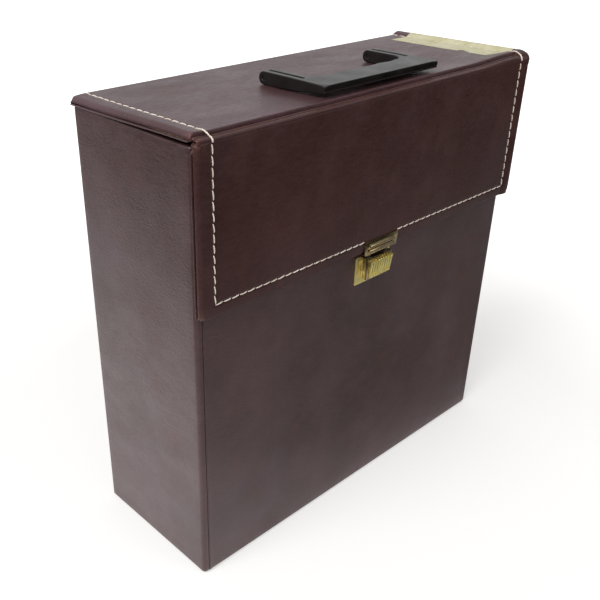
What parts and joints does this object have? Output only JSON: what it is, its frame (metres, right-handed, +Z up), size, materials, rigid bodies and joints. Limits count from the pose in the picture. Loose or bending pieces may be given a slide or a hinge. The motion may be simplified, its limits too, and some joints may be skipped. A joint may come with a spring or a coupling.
{
  "type": "record carrying case",
  "caption": "Record carrying case for 12 inch records in brown leatherette: hinged padded lid with a fold-down front flap, swinging moulded handle and brass slide lock.",
  "frame": {"origin": "middle of the underside, on the surface that the case stands on", "axes": "+X across the width to the right, +Y from the front with the lock to the back with the hinge, +Z up"},
  "size_m": [0.343, 0.1344, 0.3471],
  "materials": {
    "leatherette": "satin, fine grain",
    "chipboard": "matt",
    "wadding": "matt",
    "lining_paper": "matt",
    "paper_tape": "matt, slightly creased",
    "grip_plastic": "satin",
    "bronzed_brass": "dull, bronzed",
    "bright_brass": "bright, lightly worn",
    "steel": "plain"
  },
  "bodies": {
    "case": {"front_board": "chipboard", "back_board": "chipboard", "left_board": "chipboard", "right_board": "chipboard", "base_board": "chipboard", "front_cover": "leatherette", "back_cover": "leatherette", "left_cover": "leatherette", "right_cover": "leatherette", "base_cover": "leatherette", "wall_lining": "lining_paper", "floor_lining": "lining_paper", "back_hinge": "leatherette", "lock_base": "bright_brass", "lock_housing": "bronzed_brass", "lock_rivets": "bright_brass", "lock_washers": "steel", "catch_spring": "steel", "slide_spring": "steel"},
    "lid": {"lid_board_panel": "chipboard", "lid_padding": "wadding", "lid_cover": "leatherette", "lid_lining": "leatherette", "fold_welt": "leatherette", "name_tape": "paper_tape", "handle_staples": "bronzed_brass", "staple_washers": "steel"},
    "flap": {"flap_board_panel": "chipboard", "flap_padding": "wadding", "flap_cover": "leatherette", "flap_lining": "leatherette", "hasp_plate": "bronzed_brass", "hasp_rivets": "bright_brass"},
    "handle": {"handle_grip": "grip_plastic", "handle_pins": "steel"},
    "lock_slide": {"thumb_slide": "bright_brass", "slide_carriage": "steel"}
  },
  "joints": [
    {"name": "lid_hinge", "type": "hinge", "parent": "case", "child": "lid", "pos_m": [0, 0.0621, 0.33115], "axis": [-1, 0, 0], "range_deg": [0, 180], "deforming": ["back_hinge", "catch_spring"]},
    {"name": "flap_hinge", "type": "hinge", "parent": "lid", "child": "flap", "pos_m": [0, -0.0657, 0.3334], "axis": [-1, 0, 0], "range_deg": [0, 120], "deforming": ["fold_welt"]},
    {"name": "handle_hinge", "type": "hinge", "parent": "lid", "child": "handle", "pos_m": [0, -0.0035, 0.3426], "axis": [-1, 0, 0], "range_deg": [0, 180]},
    {"name": "slide_travel", "type": "slide", "parent": "case", "child": "lock_slide", "axis": [1, 0, 0], "range_m": [0, 0.0045], "stiffness_N_per_m": 300, "springref_m": -0.004, "deforming": ["slide_spring"]}
  ]
}
